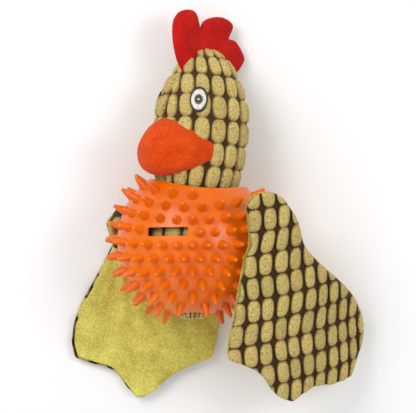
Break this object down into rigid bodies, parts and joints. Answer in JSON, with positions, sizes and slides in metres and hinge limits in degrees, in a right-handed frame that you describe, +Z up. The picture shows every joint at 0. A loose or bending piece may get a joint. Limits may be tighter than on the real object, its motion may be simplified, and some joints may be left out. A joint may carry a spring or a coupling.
{
  "type": "plush toy chicken",
  "caption": "Soft toy chicken: plush head and wings on a hollow spiky rubber ball, with a fleece comb, padded beak and lined wings that swing and lift.",
  "frame": {"origin": "middle of the base of the toy's box, on the surface that it lies on", "axes": "+Y from the wing tips to the comb, +Z up, out of the ball's front, +X to the left wing"},
  "size_m": [0.182, 0.2448, 0.0935],
  "materials": {
    "ball_rubber": "smooth soft moulded rubber",
    "corn_plush": "tan looped kernels on dark brown knit",
    "fibre_filling": "loose polyester fibre",
    "squeaker_plastic": "thin translucent plastic",
    "brown_thread": "sewing thread",
    "red_fleece": "brushed fleece",
    "orange_fleece": "brushed fleece",
    "dark_thread": "satin-stitch embroidery",
    "white_thread": "satin-stitch embroidery",
    "lime_fleece": "brushed fleece",
    "crinkle_film": "thin crackling film"
  },
  "bodies": {
    "torso": {"spiked_ball": "ball_rubber", "torso_cover": "corn_plush", "torso_stuffing": "fibre_filling", "squeaker_bulb": "squeaker_plastic", "squeaker_housing": "squeaker_plastic", "squeaker_reed": "squeaker_plastic", "left_wing_root": "corn_plush", "right_wing_root": "corn_plush"},
    "neck": {"neck_cover": "corn_plush", "neck_stuffing": "fibre_filling", "neck_thread": "brown_thread"},
    "head": {"head_cover": "corn_plush", "head_stuffing": "fibre_filling", "comb_left": "red_fleece", "comb_right": "red_fleece", "comb_padding": "fibre_filling", "beak_cover": "orange_fleece", "beak_stuffing": "fibre_filling", "left_eye_outline": "dark_thread", "left_eye_white": "white_thread", "left_eye_pupil": "dark_thread", "left_eye_glint": "white_thread", "right_eye_outline": "dark_thread", "right_eye_white": "white_thread", "right_eye_pupil": "dark_thread", "right_eye_glint": "white_thread"},
    "left_shoulder": {"left_wing_seam": "brown_thread"},
    "left_wing": {"left_wing_lining": "lime_fleece", "left_wing_film": "crinkle_film", "left_wing_plush": "corn_plush"},
    "right_shoulder": {"right_wing_seam": "brown_thread"},
    "right_wing": {"right_wing_lining": "lime_fleece", "right_wing_film": "crinkle_film", "right_wing_plush": "corn_plush"}
  },
  "joints": [
    {"name": "neck_turn", "type": "hinge", "parent": "torso", "child": "neck", "pos_m": [-0.012, 0.02768, 0.03531], "axis": [0, 0.9792, -0.2028], "range_deg": [-10, 35]},
    {"name": "head_nod", "type": "hinge", "parent": "neck", "child": "head", "pos_m": [-0.012, 0.02768, 0.03531], "axis": [0.6428, 0.1553, 0.7501], "range_deg": [-28, 4]},
    {"name": "left_wing_swing", "type": "hinge", "parent": "torso", "child": "left_shoulder", "pos_m": [0.02599, 0.00862, 0.07795], "axis": [0.5299, -0.1224, 0.8392], "range_deg": [-5, 55]},
    {"name": "left_wing_lift", "type": "hinge", "parent": "left_shoulder", "child": "left_wing", "pos_m": [0.02599, 0.00862, 0.07795], "axis": [-0.848, -0.0765, 0.5244], "range_deg": [0, 42]},
    {"name": "right_wing_swing", "type": "hinge", "parent": "torso", "child": "right_shoulder", "pos_m": [-0.06, -0.02238, 0.0084], "axis": [0, 0, -1], "range_deg": [0, 55]},
    {"name": "right_wing_lift", "type": "hinge", "parent": "right_shoulder", "child": "right_wing", "pos_m": [-0.06, -0.02238, 0.0084], "axis": [1, 0, 0], "range_deg": [0, 25]}
  ]
}
